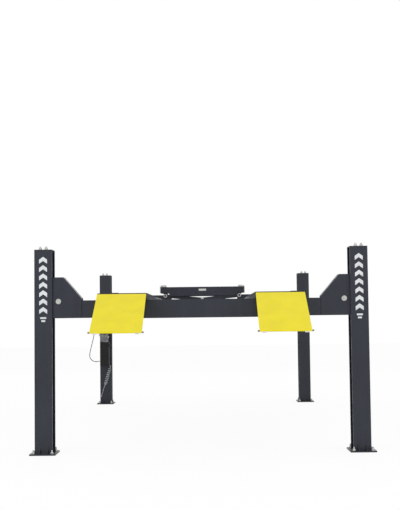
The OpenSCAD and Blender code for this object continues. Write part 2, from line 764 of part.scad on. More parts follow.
// ---- drawing ----

column(-1, -1);  // column_rear_left
column(1, -1);  // column_rear_right
column(-1, 1);  // column_front_left
column(1, 1);  // column_front_right
column_caps();
lock_ladder(-1, -1);  // lock_ladder_rear_left
lock_ladder(1, -1);  // lock_ladder_rear_right
lock_ladder(-1, 1);  // lock_ladder_front_left
lock_ladder(1, 1);  // lock_ladder_front_right
hanger_studs();
lift_cables();
power_unit_bracket();
fluid_reservoir();
pump_block();
motor();
control_box();
up_button();
lock_release_button();
lowering_lever();
hydraulic_hose();
air_hose_coil();
air_hose_tail();
hose_fittings();
crossbeam(-1);  // crossbeam_rear
crossbeam(1);  // crossbeam_front
end_housing(-1, -1);  // end_housing_rear_left
end_housing(1, -1);  // end_housing_rear_right
end_housing(-1, 1);  // end_housing_front_left
end_housing(1, 1);  // end_housing_front_right
slide_blocks();
sheave_pins();
latch_pins();
runway(-1);  // runway_left
runway(1);  // runway_right
ramp_pins();
wheel_stops();
cylinder_barrel();
beam_cables();
sheave(-1, -1);  // sheave_rear_left
sheave(1, -1);  // sheave_rear_right
sheave(-1, 1);  // sheave_front_left
sheave(1, 1);  // sheave_front_right
latch(-1, -1);  // latch_rear_left
latch(1, -1);  // latch_rear_right
latch(-1, 1);  // latch_front_left
latch(1, 1);  // latch_front_right
ramp(-1);  // ramp_left
ramp(1);  // ramp_right
piston_rod();
pull_plate();
jack_carriage();
jack_wheels(1);  // jack_wheels_front
jack_wheels(-1);  // jack_wheels_rear
scissor_arm_outer();
scissor_arm_inner();
jack_table();
jack_extension(-1);  // jack_extension_left
jack_extension(1);  // jack_extension_right
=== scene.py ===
"""Four-post truck lift: finishes, hoses, cables, small parts and the stage, round the fixed frame."""

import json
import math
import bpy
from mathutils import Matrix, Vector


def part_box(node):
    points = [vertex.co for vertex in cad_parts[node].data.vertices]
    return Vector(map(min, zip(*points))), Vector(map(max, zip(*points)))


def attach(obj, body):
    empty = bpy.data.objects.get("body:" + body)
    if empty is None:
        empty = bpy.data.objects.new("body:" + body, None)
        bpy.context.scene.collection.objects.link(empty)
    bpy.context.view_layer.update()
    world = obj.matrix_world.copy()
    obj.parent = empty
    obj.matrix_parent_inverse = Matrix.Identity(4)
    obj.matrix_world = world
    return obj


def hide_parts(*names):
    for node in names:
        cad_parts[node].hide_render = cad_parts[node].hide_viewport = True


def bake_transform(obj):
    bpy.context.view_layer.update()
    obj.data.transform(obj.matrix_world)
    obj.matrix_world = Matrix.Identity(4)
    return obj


bl_info = {
    "name": "Four-post truck lift",
    "version": (1, 0, 0),
    "blender": (4, 5, 0),
    "location": "3D View > Sidebar > Truck lift",
    "description": "Finishes, small parts and stage of a four-post truck lift with a rolling axle jack",
    "category": "Object",
}

import bmesh
import bpy
from bpy.props import FloatProperty, FloatVectorProperty, IntProperty, PointerProperty
from mathutils import Matrix, Vector

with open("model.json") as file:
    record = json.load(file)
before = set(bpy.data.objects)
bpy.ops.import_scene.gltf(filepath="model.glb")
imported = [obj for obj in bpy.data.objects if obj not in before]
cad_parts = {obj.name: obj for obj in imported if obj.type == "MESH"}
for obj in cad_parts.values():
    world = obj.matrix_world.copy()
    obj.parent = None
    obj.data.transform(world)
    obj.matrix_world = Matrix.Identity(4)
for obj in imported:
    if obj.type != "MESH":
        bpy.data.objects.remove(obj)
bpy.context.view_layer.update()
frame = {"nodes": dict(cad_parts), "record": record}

CORNERS = {"rear_left": (-1, -1), "rear_right": (1, -1), "front_left": (-1, 1), "front_right": (1, 1)}
SIDES = {"left": -1, "right": 1}
X, Y, Z = Vector((1, 0, 0)), Vector((0, 1, 0)), Vector((0, 0, 1))
JOINTS = {joint["name"]: joint for joint in frame["record"]["behaviour"]["joints"]}
MOUNTS = {mount["name"]: mount for mount in frame["record"]["mounts"]}


# ---- places that come from the frame ----

def middle(node):
    """The centre of a node's box."""
    low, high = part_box(node)
    return (Vector(low) + Vector(high)) / 2


def pivot(joint):
    """The place of a hinge."""
    return Vector(JOINTS[joint]["pos_m"])


def mirrored(sx, sy):
    """Puts what is drawn for the +X +Y corner at another corner."""
    return Matrix.Diagonal((sx, sy, 1, 1))


# ---- mesh helpers ----

def add_box(bm, low, high, bevel=0.0):
    """A box between two corners, its edges rounded by bevel."""
    low, high = Vector(low), Vector(high)
    size = high - low
    place = Matrix.Translation((low + high) / 2) @ Matrix.Diagonal((*size, 1))
    made = bmesh.ops.create_cube(bm, size=1, matrix=place)["verts"]
    if bevel:
        edges = {edge for vert in made for edge in vert.link_edges}
        bmesh.ops.bevel(bm, geom=list(edges), offset=bevel, segments=2, affect="EDGES", profile=0.6)


def add_round(bm, start, end, radius, sides=32, bevel=0.0, top=None):
    """A round or six-sided bar from start to end, its two rims rounded by bevel."""
    start, end = Vector(start), Vector(end)
    run = end - start
    place = Matrix.Translation((start + end) / 2) @ run.to_track_quat("Z", "Y").to_matrix().to_4x4()
    far = radius if top is None else top
    made = bmesh.ops.create_cone(
        bm, cap_ends=True, segments=sides, radius1=radius, radius2=far,
        depth=run.length, matrix=place)["verts"]
    if bevel:
        rims = [edge for edge in {e for v in made for e in v.link_edges}
                if any(len(face.verts) > 4 for face in edge.link_faces)]
        bmesh.ops.bevel(bm, geom=rims, offset=bevel, segments=2, affect="EDGES", profile=0.6)


def add_ring(bm, centre, axis, inner, outer, thickness, sides=40):
    """A flat ring standing on centre, growing along axis."""
    turn = Vector(axis).to_track_quat("Z", "Y").to_matrix().to_4x4()
    place = Matrix.Translation(centre) @ turn
    rows = []
    for radius, height in ((inner, 0), (outer, 0), (outer, thickness), (inner, thickness)):
        rows.append([bm.verts.new(place @ Vector((radius * math.cos(a), radius * math.sin(a), height)))
                     for a in (2 * math.pi * k / sides for k in range(sides))])
    for row, after in zip(rows, rows[1:] + rows[:1]):
        for k in range(sides):
            m = (k + 1) % sides
            bm.faces.new((row[k], row[m], after[m], after[k]))


def add_bolt(bm, seat, axis, size, washer=True):
    """A hexagon head with its washer, standing on seat along axis."""
    seat, axis = Vector(seat), Vector(axis).normalized()
    lift = 0.0
    if washer:
        lift = size * 0.18
        add_round(bm, seat - axis * 0.0005, seat + axis * lift, size * 1.1, 28, size * 0.04)
    add_round(bm, seat + axis * lift, seat + axis * (lift + size * 0.62), size * 0.92, 6, size * 0.07)


def add_bead(bm, start, end, radius):
    """A weld bead with its ripples, laid in the corner from start to end."""
    start, end = Vector(start), Vector(end)
    run = end - start
    steps = max(8, int(run.length / 0.0035))
    turn = run.to_track_quat("Z", "Y").to_matrix()
    sides = 8
    rows = []
    for i in range(steps + 1):
        swell = radius * (0.88 + 0.14 * math.cos(2.1 * i) + 0.05 * math.sin(0.37 * i))
        if i in (0, steps):
            swell *= 0.45
        centre = start + run * (i / steps)
        rows.append([bm.verts.new(centre + turn @ Vector((swell * math.cos(a), swell * math.sin(a), 0)))
                     for a in (2 * math.pi * k / sides for k in range(sides))])
    for row, after in zip(rows, rows[1:]):
        for k in range(sides):
            m = (k + 1) % sides
            bm.faces.new((row[k], row[m], after[m], after[k]))
    bm.faces.new(rows[0][::-1])
    bm.faces.new(rows[-1])


def add_outline(bm, points, thickness, place):
    """A flat outline, thickened along its own Z and put at place."""
    low = [bm.verts.new(place @ Vector((x, y, 0))) for x, y in points]
    high = [bm.verts.new(place @ Vector((x, y, thickness))) for x, y in points]
    bm.faces.new(low[::-1])
    bm.faces.new(high)
    for k in range(len(points)):
        m = (k + 1) % len(points)
        bm.faces.new((low[k], low[m], high[m], high[k]))


def add_rope(bm, points, radius, lay_length, strands=6):
    """A wire rope of twisted strands along closely spaced points."""
    sides = strands * 4
    rows = []
    gone = 0.0
    aside = None
    for i, point in enumerate(points):
        after = points[min(i + 1, len(points) - 1)]
        before = points[max(i - 1, 0)]
        along = (after - before).normalized()
        if aside is None:
            aside = along.orthogonal().normalized()
        aside = (aside - along * aside.dot(along)).normalized()
        across = along.cross(aside)
        if i:
            gone += (point - points[i - 1]).length
        twist = 2 * math.pi * gone / lay_length
        row = []
        for k in range(sides):
            a = 2 * math.pi * k / sides
            r = radius * (0.86 + 0.14 * abs(math.cos(strands * a / 2)))
            row.append(bm.verts.new(point + r * (math.cos(a + twist) * aside + math.sin(a + twist) * across)))
        rows.append(row)
    for row, after in zip(rows, rows[1:]):
        for k in range(sides):
            m = (k + 1) % sides
            bm.faces.new((row[k], row[m], after[m], after[k]))
    bm.faces.new(rows[0][::-1])
    bm.faces.new(rows[-1])


def make_piece(name, bm, body, slot, material=None, sharp=35):
    """Turns a mesh into a piece that rides on body and has the finish of slot."""
    bmesh.ops.recalc_face_normals(bm, faces=bm.faces)
    mesh = bpy.data.meshes.new(name)
    bm.to_mesh(mesh)
    bm.free()
    mesh.polygons.foreach_set("use_smooth", [True] * len(mesh.polygons))
    mesh.set_sharp_from_angle(angle=math.radians(sharp))
    piece = bpy.data.objects.new(name, mesh)
    bpy.context.scene.collection.objects.link(piece)
    mesh.materials.append(material or finish_of(slot))
    if body:
        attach(piece, body)
    return piece


def curve_piece(name, points, diameter, slot):
    """A round hose along points."""
    curve = bpy.data.curves.new(name, "CURVE")
    curve.dimensions = "3D"
    curve.bevel_depth = diameter / 2
    curve.bevel_resolution = 4
    curve.use_fill_caps = True
    spline = curve.splines.new("POLY")
    spline.points.add(len(points) - 1)
    for place, point in zip(spline.points, points):
        place.co = (*point, 1)
    piece = bpy.data.objects.new(name, curve)
    bpy.context.scene.collection.objects.link(piece)
    curve.materials.append(finish_of(slot))
    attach(piece, "root")
    return piece


def smooth_route(points, steps):
    """A curve through all points, with steps short runs between each two."""
    points = [Vector(p) for p in points]
    ends = [2 * points[0] - points[1], *points, 2 * points[-1] - points[-2]]
    route = []
    for a, b, c, d in zip(ends, ends[1:], ends[2:], ends[3:]):
        for k in range(steps):
            t = k / steps
            route.append(0.5 * ((2 * b) + (c - a) * t + (2 * a - 5 * b + 4 * c - d) * t ** 2
                                + (3 * b - a - 3 * c + d) * t ** 3))
    return route + [points[-1]]


# ---- shader groups ----

def new_group(name, inputs, outputs):
    """An empty shader group with number inputs and the named outputs."""
    group = bpy.data.node_groups.new(name, "ShaderNodeTree")
    for label, value in inputs:
        socket = group.interface.new_socket(label, in_out="INPUT", socket_type="NodeSocketFloat")
        socket.default_value = value
    for label, kind in outputs:
        group.interface.new_socket(label, in_out="OUTPUT", socket_type=kind)
    return group, group.nodes.new("NodeGroupInput"), group.nodes.new("NodeGroupOutput")


def mottle_group():
    """Soft uneven patches: a mask that varies slowly over the surface."""
    group, given, out = new_group("mottle", [("Scale", 3.0), ("Detail", 5.0), ("Low", 0.35), ("High", 0.65)],
                                  [("Mask", "NodeSocketFloat")])
    nodes, links = group.nodes, group.links
    place = nodes.new("ShaderNodeTexCoord")
    noise = nodes.new("ShaderNodeTexNoise")
    spread = nodes.new("ShaderNodeMapRange")
    links.new(place.outputs["Object"], noise.inputs["Vector"])
    links.new(given.outputs["Scale"], noise.inputs["Scale"])
    links.new(given.outputs["Detail"], noise.inputs["Detail"])
    links.new(noise.outputs["Fac"], spread.inputs["Value"])
    links.new(given.outputs["Low"], spread.inputs["From Min"])
    links.new(given.outputs["High"], spread.inputs["From Max"])
    links.new(spread.outputs["Result"], out.inputs["Mask"])
    return group


def pits_group():
    """Fine bumps of sprayed, cast or moulded surfaces, as a height."""
    group, given, out = new_group("fine_bumps", [("Scale", 400.0)], [("Height", "NodeSocketFloat")])
    nodes, links = group.nodes, group.links
    place = nodes.new("ShaderNodeTexCoord")
    noise = nodes.new("ShaderNodeTexNoise")
    noise.inputs["Detail"].default_value = 3
    links.new(place.outputs["Object"], noise.inputs["Vector"])
    links.new(given.outputs["Scale"], noise.inputs["Scale"])
    links.new(noise.outputs["Fac"], out.inputs["Height"])
    return group


def streaks_group():
    """Streaks running down a standing surface, as a mask."""
    group, given, out = new_group(
        "streaks", [("Scale", 14.0), ("Stretch", 0.06)], [("Mask", "NodeSocketFloat")])
    nodes, links = group.nodes, group.links
    place = nodes.new("ShaderNodeTexCoord")
    split = nodes.new("ShaderNodeSeparateXYZ")
    squeeze = nodes.new("ShaderNodeMath")
    squeeze.operation = "MULTIPLY"
    join = nodes.new("ShaderNodeCombineXYZ")
    noise = nodes.new("ShaderNodeTexNoise")
    noise.inputs["Detail"].default_value = 4
    spread = nodes.new("ShaderNodeMapRange")
    spread.inputs["From Min"].default_value = 0.42
    spread.inputs["From Max"].default_value = 0.72
    links.new(place.outputs["Object"], split.inputs["Vector"])
    links.new(split.outputs["X"], join.inputs["X"])
    links.new(split.outputs["Y"], join.inputs["Y"])
    links.new(split.outputs["Z"], squeeze.inputs[0])
    links.new(given.outputs["Stretch"], squeeze.inputs[1])
    links.new(squeeze.outputs["Value"], join.inputs["Z"])
    links.new(join.outputs["Vector"], noise.inputs["Vector"])
    links.new(given.outputs["Scale"], noise.inputs["Scale"])
    links.new(noise.outputs["Fac"], spread.inputs["Value"])
    links.new(spread.outputs["Result"], out.inputs["Mask"])
    return group


GROUP_MAKERS = {"mottle": mottle_group, "fine_bumps": pits_group, "streaks": streaks_group}


def place_group(nodes, name, **values):
    """Puts a shared group in a material, with its own values."""
    node = nodes.new("ShaderNodeGroup")
    node.node_tree = bpy.data.node_groups.get(name) or GROUP_MAKERS[name]()
    for label, value in values.items():
        node.inputs[label].default_value = value
    return node


# ---- finishes ----

def blank_material(name, metallic, shine):
    """A material with its surface shader and values that are the same all over."""
    material = bpy.data.materials.new(name)
    material.use_nodes = True
    nodes = material.node_tree.nodes
    nodes.clear()
    surface = nodes.new("ShaderNodeBsdfPrincipled")
    out = nodes.new("ShaderNodeOutputMaterial")
    material.node_tree.links.new(surface.outputs["BSDF"], out.inputs["Surface"])
    surface.inputs["Metallic"].default_value = metallic
    surface.inputs["Specular IOR Level"].default_value = shine
    return material, surface


def mixed(material, mask, first, second):
    """A colour that goes from first to second by mask."""
    mix = material.node_tree.nodes.new("ShaderNodeMix")
    mix.data_type = "RGBA"
    mix.inputs["A"].default_value = (*first, 1) if isinstance(first, (tuple, list)) else (0, 0, 0, 1)
    mix.inputs["B"].default_value = (*second, 1)
    links = material.node_tree.links
    links.new(mask, mix.inputs["Factor"])
    if not isinstance(first, (tuple, list)):
        links.new(first, mix.inputs["A"])
    return mix.outputs["Result"]


def ranged(material, mask, low, high):
    """A number that goes from low to high by mask."""
    spread = material.node_tree.nodes.new("ShaderNodeMapRange")
    spread.inputs["To Min"].default_value = low
    spread.inputs["To Max"].default_value = high
    material.node_tree.links.new(mask, spread.inputs["Value"])
    return spread.outputs["Result"]


def bumped(material, surface, height, distance, strength):
    """Feeds a height to the surface as a bump."""
    bump = material.node_tree.nodes.new("ShaderNodeBump")
    bump.inputs["Distance"].default_value = distance
    bump.inputs["Strength"].default_value = strength
    material.node_tree.links.new(height, bump.inputs["Height"])
    material.node_tree.links.new(bump.outputs["Normal"], surface.inputs["Normal"])


def coated(name, colour, worn, rough, patch=3.0, bump_scale=350.0, streaky=0.0, metallic=0.0, bump=0.25,
           shine=0.5):
    """A coated or moulded surface: two close colours in patches, uneven gloss and fine bumps."""
    material, surface = blank_material(name, metallic, shine)
    nodes, links = material.node_tree.nodes, material.node_tree.links
    patches = place_group(nodes, "mottle", Scale=patch)
    colours = mixed(material, patches.outputs["Mask"], tuple(colour), tuple(worn))
    if streaky:
        drips = place_group(nodes, "streaks")
        faint = ranged(material, drips.outputs["Mask"], 0.0, streaky)
        lighter = tuple(min(1.0, 1.35 * part + 0.02) for part in worn)
        colours = mixed(material, faint, colours, lighter)
    links.new(colours, surface.inputs["Base Color"])
    gloss = place_group(nodes, "mottle", Scale=patch * 5)
    links.new(ranged(material, gloss.outputs["Mask"], rough - 0.06, rough + 0.1), surface.inputs["Roughness"])
    fine = place_group(nodes, "fine_bumps", Scale=bump_scale)
    bumped(material, surface, fine.outputs["Height"], 0.0004, bump)
    return material


def look():
    """The colours that a user may change."""
    return bpy.context.scene.lift_look


def slate_paint():
    colour = look().frame_colour
    return coated("slate_paint", colour, [1.2 * c + 0.001 for c in colour], 0.34, 1.6, 260.0, 0.1,
                  bump=0.12, shine=0.4)


def ramp_paint():
    colour = look().ramp_colour
    return coated("ramp_paint", colour, [0.93 * c for c in colour], 0.45, 5.0, 300.0, shine=0.32)


def zinc_plate():
    return coated("zinc_plate", (0.62, 0.63, 0.62), (0.5, 0.5, 0.47), 0.32, 30.0, 900.0, metallic=1.0)


def oiled_steel():
    return coated("oiled_steel", (0.3, 0.3, 0.31), (0.17, 0.165, 0.16), 0.36, 9.0, 500.0, metallic=1.0)


def rope_wire():
    return coated("rope_wire", (0.42, 0.42, 0.43), (0.24, 0.235, 0.23), 0.4, 60.0, 1500.0, metallic=1.0)


def hard_chrome():
    return coated(
        "chrome_rod", (0.72, 0.73, 0.75), (0.66, 0.67, 0.69), 0.12, 6.0, 700.0, metallic=1.0, bump=0.05)


def slide_plastic():
    return coated("slide_plastic", (0.78, 0.77, 0.72), (0.66, 0.64, 0.58), 0.5, 12.0, 600.0)


def tank_enamel():
    return coated(
        "tank_enamel", (0.006, 0.006, 0.007), (0.01, 0.01, 0.011), 0.3, 5.0, 300.0, bump=0.05, shine=0.25)


def cast_metal():
    return coated(
        "cast_metal", (0.52, 0.52, 0.51), (0.42, 0.42, 0.41), 0.5, 25.0, 520.0, metallic=1.0, bump=0.7)


def box_plastic():
    return coated("box_plastic", (0.13, 0.135, 0.145), (0.11, 0.115, 0.125), 0.52, 8.0, 1400.0, bump=0.5)


def green_cap():
    return coated("green_cap", (0.02, 0.32, 0.08), (0.02, 0.26, 0.07), 0.25, 20.0, 800.0, bump=0.1)


def red_cap():
    return coated("red_cap", (0.5, 0.02, 0.02), (0.42, 0.02, 0.02), 0.25, 20.0, 800.0, bump=0.1)


def hose_rubber():
    return coated("hose_rubber", (0.014, 0.014, 0.014), (0.028, 0.027, 0.026), 0.55, 18.0, 1200.0, bump=0.6)


def air_nylon():
    return coated("air_nylon", (0.66, 0.68, 0.7), (0.52, 0.54, 0.56), 0.25, 16.0, 900.0, bump=0.05)


def skid_plastic():
    return coated("skid_plastic", (0.74, 0.74, 0.7), (0.55, 0.55, 0.52), 0.55, 40.0, 700.0)


def mark_film():
    return coated("mark_film", (0.66, 0.68, 0.7), (0.6, 0.62, 0.64), 0.4, 10.0, 900.0, bump=0.08)


def grip_coat():
    return coated("grip_coat", (0.03, 0.031, 0.034), (0.055, 0.055, 0.057), 0.72, 3.0, 420.0, bump=1.0)


def floor_paint():
    """A pale floor that looks evenly white to the camera, and lights the lift as plain paint does."""
    material = coated("floor_paint", (0.9, 0.9, 0.9), (0.88, 0.88, 0.885), 0.6, 0.7, 60.0, bump=0.03)
    nodes, links = material.node_tree.nodes, material.node_tree.links
    output = next(node for node in nodes if node.type == "OUTPUT_MATERIAL")
    painted = output.inputs["Surface"].links[0].from_socket
    white = nodes.new("ShaderNodeEmission")
    white.inputs["Color"].default_value = (1, 1, 1, 1)
    white.inputs["Strength"].default_value = 1.0
    seen = nodes.new("ShaderNodeLightPath")
    share = nodes.new("ShaderNodeMath")
    share.operation = "MULTIPLY"
    share.inputs[1].default_value = 0.9
    links.new(seen.outputs["Is Camera Ray"], share.inputs[0])
    blend = nodes.new("ShaderNodeMixShader")
    links.new(share.outputs["Value"], blend.inputs["Fac"])
    links.new(painted, blend.inputs[1])
    links.new(white.outputs["Emission"], blend.inputs[2])
    links.new(blend.outputs["Shader"], output.inputs["Surface"])
    return material


FINISHES = {
    "frame_paint": slate_paint, "zinc": zinc_plate, "bare_steel": oiled_steel, "wire_rope": rope_wire,
    "hard_chrome": hard_chrome, "ramp_yellow": ramp_paint, "slide_plastic": slide_plastic,
    "tank_black": tank_enamel, "cast_aluminium": cast_metal, "box_grey": box_plastic,
    "button_green": green_cap, "button_red": red_cap, "hose_rubber": hose_rubber, "air_hose": air_nylon,
    "skid": skid_plastic, "mark": mark_film, "grip": grip_coat, "floor": floor_paint,
}
MADE = {}


def finish_of(name):
    """The material of a slot or finish, made once."""
    if name not in MADE:
        MADE[name] = FINISHES[name]()
    return MADE[name]


# ---- settings ----

class LiftLook(bpy.types.PropertyGroup):
    """Colours of the lift."""

    frame_colour: FloatVectorProperty(
        name="Frame colour", description="Paint of columns, beams and runways", subtype="COLOR",
        size=3, min=0, max=1, default=(0.0145, 0.0175, 0.0275))
    ramp_colour: FloatVectorProperty(
        name="Ramp colour", description="Paint of the two approach ramps", subtype="COLOR",
        size=3, min=0, max=1, default=(0.77, 0.655, 0.004))


class LiftHoses(bpy.types.PropertyGroup):
    """Sizes of the hoses."""

    oil_diameter: FloatProperty(
        name="Oil hose", description="Outer diameter of the hydraulic hose", unit="LENGTH", default=0.012)
    air_diameter: FloatProperty(
        name="Air hose", description="Outer diameter of the air hose", unit="LENGTH", default=0.006)
    coil_radius: FloatProperty(
        name="Coil radius", description="Radius of the air hose's coil at the hose's middle", unit="LENGTH",
        default=0.028)
    coil_turns: IntProperty(name="Coil turns", description="Turns in the air hose's coil", default=10, min=5)


class LiftCables(bpy.types.PropertyGroup):
    """Sizes of the wire ropes."""

    diameter: FloatProperty(
        name="Cable", description="Diameter of a lift cable", unit="LENGTH", default=0.013)
    lay: FloatProperty(
        name="Lay", description="Length in which a strand goes once round the cable", unit="LENGTH",
        default=0.085)


class LiftHardware(bpy.types.PropertyGroup):
    """Sizes of anchors, bolts and welds."""

    anchor_size: FloatProperty(
        name="Anchor", description="Diameter of a floor anchor", unit="LENGTH", default=0.019)
    anchor_height: FloatProperty(
        name="Anchor height", description="Height of an anchor above its base plate", unit="LENGTH",
        default=0.045)
    plate_thickness: FloatProperty(
        name="Base plate", description="Thickness of a base plate", unit="LENGTH", default=0.016)
    bolt_size: FloatProperty(
        name="Bolt", description="Diameter of the small bolts", unit="LENGTH", default=0.01)
    weld_radius: FloatProperty(
        name="Weld", description="Radius of a weld bead", unit="LENGTH", default=0.0045)


class LiftMarks(bpy.types.PropertyGroup):
    """The chevrons on the columns."""

    count: IntProperty(name="Chevrons", description="Chevrons on one column", default=7, min=1)
    step: FloatProperty(
        name="Step", description="Height from one chevron to the next", unit="LENGTH", default=0.095)
    top: FloatProperty(
        name="Top", description="Height of the highest chevron's tip", unit="LENGTH", default=2.232)


class LiftStage(bpy.types.PropertyGroup):
    """Floor, light and camera."""

    floor_size: FloatProperty(name="Floor", description="Side of the floor", unit="LENGTH", default=90.0)
    key_power: FloatProperty(
        name="Key light", description="Power of the main light", unit="POWER", default=420)
    fill_power: FloatProperty(
        name="Fill light", description="Power of the side lights", unit="POWER", default=260)
    sky: FloatProperty(name="Sky", description="Strength of the even light all round", default=0.86)


# ---- finishes on the frame's own parts ----

class LIFT_OT_finishes(bpy.types.Operator):
    """Gives every part of the frame its finish"""

    bl_idname = "lift.finishes"
    bl_label = "Part finishes"

    def execute(self, context):
        for part in frame["record"]["subparts"]:
            material = finish_of(part["material_slot"])
            for slot in frame["nodes"][part["node"]].material_slots:
                slot.material = material
        return {"FINISHED"}


# ---- hoses ----

OIL_ROUTE = [
    (-1.895, 3.395, 1.262), (-1.895, 3.395, 1.278), (-1.896, 3.395, 1.294), (-1.902, 3.395, 1.314),
    (-1.919, 3.395, 1.331), (-1.942, 3.395, 1.338), (-1.965, 3.396, 1.331), (-1.981, 3.397, 1.314),
    (-1.987, 3.398, 1.290), (-1.990, 3.400, 1.255), (-1.997, 3.402, 1.210), (-2.008, 3.404, 1.160),
    (-2.021, 3.407, 1.110), (-2.034, 3.411, 1.060), (-2.048, 3.415, 1.005), (-2.062, 3.420, 0.945),
    (-2.072, 3.426, 0.890), (-2.070, 3.433, 0.845), (-2.053, 3.444, 0.808), (-2.025, 3.458, 0.780),
    (-1.994, 3.475, 0.765), (-1.962, 3.490, 0.760), (-1.935, 3.498, 0.763), (-1.912, 3.500, 0.766)]
AIR_COIL = [
    (-1.706, 3.446, 0.668), (-1.722, 3.446, 0.610), (-1.740, 3.446, 0.552), (-1.757, 3.446, 0.494),
    (-1.774, 3.446, 0.436), (-1.792, 3.446, 0.378), (-1.801, 3.447, 0.348)]
AIR_TAIL = [
    (-1.806, 3.449, 0.334), (-1.814, 3.452, 0.312), (-1.824, 3.455, 0.284), (-1.836, 3.458, 0.250),
    (-1.848, 3.459, 0.214), (-1.858, 3.460, 0.184), (-1.864, 3.461, 0.164), (-1.867, 3.463, 0.148),
    (-1.868, 3.466, 0.138)]


def coil_route(centre, radius, turns):
    """A coil round a centre line that starts and ends on that line."""
    total = turns * 24
    points = []
    for i in range(total + 1):
        share = i / total
        at = share * (len(centre) - 1)
        k = min(int(at), len(centre) - 2)
        along = (centre[k + 1] - centre[k]).normalized()
        aside = along.orthogonal().normalized()
        across = along.cross(aside)
        grown = radius * min(1.0, share * turns, (1 - share) * turns)
        a = 2 * math.pi * turns * share
        middle_line = centre[k].lerp(centre[k + 1], at - k)
        points.append(middle_line + grown * (math.cos(a) * aside + math.sin(a) * across))
    return points


class LIFT_OT_hoses(bpy.types.Operator):
    """Makes the hydraulic hose, the coiled air hose and their crimped ends"""

    bl_idname = "lift.hoses"
    bl_label = "Hoses"

    def execute(self, context):
        sizes = context.scene.lift_hoses
        oil = smooth_route(OIL_ROUTE, 6)
        hose = curve_piece("oil_hose", oil, sizes.oil_diameter, "hose_rubber")
        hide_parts("hydraulic_hose")
        coil = coil_route(smooth_route(AIR_COIL, 6), sizes.coil_radius, sizes.coil_turns)
        air = coil + smooth_route(AIR_TAIL, 4)
        line = curve_piece("air_hose", air, sizes.air_diameter, "air_hose")
        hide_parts("air_hose_coil", "air_hose_tail")
        crimps = bmesh.new()
        for near, far in ((oil[0], oil[9]), (oil[-1], oil[-8])):
            along = (far - near).normalized()
            for k in range(4):
                add_round(crimps, near + along * (0.001 + 0.006 * k), near + along * (0.0065 + 0.006 * k),
                          0.0095 - 0.0003 * k, 28, 0.0008)
        add_round(crimps, air[-1], air[-4], 0.005, 24, 0.0006)
        make_piece("hose_crimps", crimps, "root", "zinc")
        return {"FINISHED"}


# ---- cables ----

class LIFT_OT_cables(bpy.types.Operator):
    """Makes the stranded wire ropes in the columns and along the crossbeams"""

    bl_idname = "lift.cables"
    bl_label = "Wire ropes"

    def execute(self, context):
        sizes = context.scene.lift_cables
        radius = sizes.diameter / 2
        low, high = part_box("lift_cables")
        reach = Vector(high).x - radius
        for corner, (sx, sy) in CORNERS.items():
            foot = Vector((sx * reach, sy * 3.6, low[2]))
            rise = high[2] - low[2]
            steps = int(rise / (sizes.lay / 10))
            points = [foot + Z * (rise * k / steps) for k in range(steps + 1)]
            bm = bmesh.new()
            add_rope(bm, points, radius, sizes.lay)
            rope = make_piece("lift_cable_" + corner, bm, None, "wire_rope")
            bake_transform(rope)
        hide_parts("lift_cables")
        bm = bmesh.new()
        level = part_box("beam_cables")[0][2] + radius
        for corner, (sx, sy) in CORNERS.items():
            hub = pivot("sheave_" + corner + "_spin")
            drop = hub.z - level
            turn = [hub + Vector((sx * drop * math.cos(a), 0, -drop * math.sin(a)))
                    for a in (math.pi / 2 * k / 24 for k in range(25))]
            inner = -0.87 if sx > 0 else -0.89
            run = abs(turn[-1].x - inner)
            steps = int(run / (sizes.lay / 10))
            line = [turn[-1].lerp(Vector((inner, turn[-1].y, level)), k / steps) for k in range(1, steps + 1)]
            add_rope(bm, turn + line, radius, sizes.lay)
        ropes = make_piece("beam_ropes", bm, "platform", "wire_rope")
        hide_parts("beam_cables")
        return {"FINISHED"}


# ---- anchors and welds ----

class LIFT_OT_anchors(bpy.types.Operator):
    """Stands the floor anchors in the base plates' holes"""

    bl_idname = "lift.anchors"
    bl_label = "Floor anchors"

    def execute(self, context):
        sizes = context.scene.lift_hardware
        top = sizes.plate_thickness
        for corner in CORNERS:
            mount = MOUNTS["anchors_" + corner]
            bm = bmesh.new()
            for sx in (-1, 1):
                for sy in (-1, 1):
                    aside = sx * mount["dims"]["spacing_x_mm"] / 2000
                    along = sy * mount["dims"]["spacing_y_mm"] / 2000
                    seat = Vector(mount["pos_m"]) + Vector((aside, along, top))
                    radius = sizes.anchor_size / 2
                    add_round(bm, seat, seat + Z * 0.0035, radius * 2.2, 36, 0.0006)
                    add_round(bm, seat + Z * 0.0035, seat + Z * 0.0205, radius * 1.72, 6, 0.0014)
                    threads = int((sizes.anchor_height - 0.022) / 0.0025)
                    for k in range(threads):
                        base = seat + Z * (0.0205 + 0.0025 * k)
                        add_round(bm, base, base + Z * 0.0025, radius, 24, 0.0007)
            make_piece("anchors_" + corner, bm, "root", "zinc")
        return {"FINISHED"}


